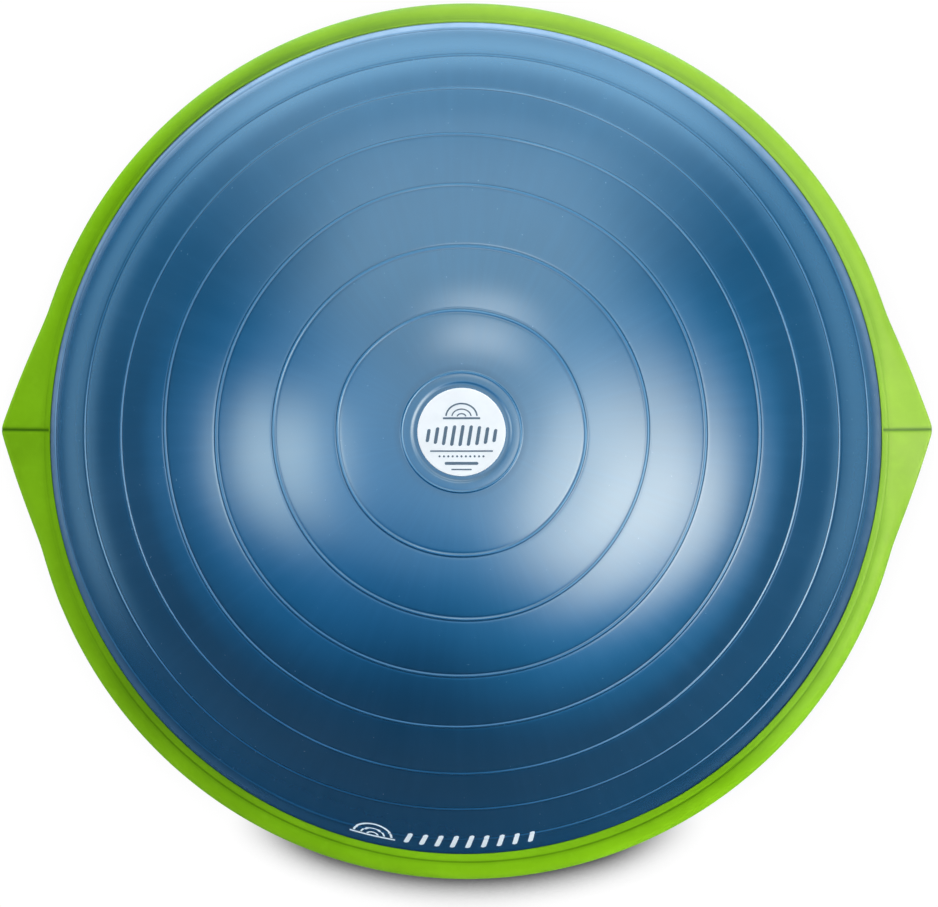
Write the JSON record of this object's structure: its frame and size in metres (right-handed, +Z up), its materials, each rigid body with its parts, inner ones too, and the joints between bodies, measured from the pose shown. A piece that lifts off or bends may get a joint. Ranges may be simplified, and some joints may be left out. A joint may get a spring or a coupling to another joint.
{
  "type": "balance dome trainer",
  "caption": "Inflated ribbed vinyl dome clamped on a rigid round platform with a soft rim and pointed carrying ears, for balance exercise.",
  "frame": {"origin": "on the floor under the centre of the dome, in the plane of the foot pads", "axes": "+Z up through the dome's pole, +X through the right-hand ear, -Y towards the front of the dome"},
  "size_m": [0.6912, 0.6502, 0.2394],
  "materials": {
    "dome_vinyl": "semi-gloss moulded vinyl with a fine grain",
    "rim_rubber": "satin soft overmould",
    "platform_plastic": "textured moulding",
    "grip_rubber": "ribbed soft grip",
    "foot_rubber": "matte rubber",
    "valve_plastic": "smooth moulding",
    "plug_plastic": "smooth moulding",
    "printed_disc": "printed vinyl disc",
    "screw_steel": "zinc plated"
  },
  "bodies": {
    "base": {"bladder_floor": "dome_vinyl", "valve_seat": "valve_plastic", "deck_plate": "platform_plastic", "base_pan": "platform_plastic", "clamp_ring": "platform_plastic", "clamp_screws": "screw_steel", "pan_screws": "screw_steel", "rim_band": "rim_rubber", "left_grip": "grip_rubber", "right_grip": "grip_rubber", "foot_pad_1": "foot_rubber", "foot_pad_2": "foot_rubber", "foot_pad_3": "foot_rubber", "foot_pad_4": "foot_rubber", "foot_pad_5": "foot_rubber", "foot_pad_6": "foot_rubber", "foot_pad_7": "foot_rubber", "foot_pad_8": "foot_rubber"},
    "dome": {"dome_shell": "dome_vinyl", "pole_label": "printed_disc"},
    "plug": {"valve_plug": "plug_plastic"}
  },
  "joints": [
    {"name": "dome_press", "type": "slide", "parent": "base", "child": "dome", "axis": [0, 0, 1], "range_m": [-0.06, 0], "stiffness_N_per_m": 15000, "deforming": ["dome_shell"]},
    {"name": "plug_pull", "type": "slide", "parent": "base", "child": "plug", "axis": [0, 0, -1], "range_m": [0, 0.03], "stiffness_N_per_m": 60}
  ]
}
